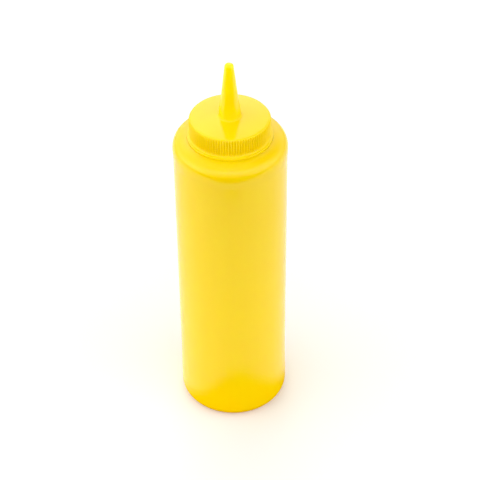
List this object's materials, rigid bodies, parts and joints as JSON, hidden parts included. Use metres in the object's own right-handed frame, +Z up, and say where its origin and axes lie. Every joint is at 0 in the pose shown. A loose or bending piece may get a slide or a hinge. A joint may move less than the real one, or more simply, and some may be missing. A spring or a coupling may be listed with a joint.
{
  "type": "squeeze bottle",
  "caption": "Round plastic squeeze bottle with a straight wall, a rounded shoulder and foot, and a ribbed screw cap with a tall tapered spout.",
  "frame": {"origin": "middle of the flat underside, on the bottle's axis", "axes": "+Z up along the bottle's axis to the tip of the spout; -Y towards the side that the picture shows; +X to its right"},
  "size_m": [0.07, 0.07, 0.2613],
  "materials": {
    "bottle": "yellow soft plastic with a smooth, slightly waxy gloss",
    "cap": "yellow moulded plastic with a smooth gloss and fine upright ribs"
  },
  "bodies": {
    "root": {"bottle": "bottle", "cap": "cap"}
  },
  "joints": []
}
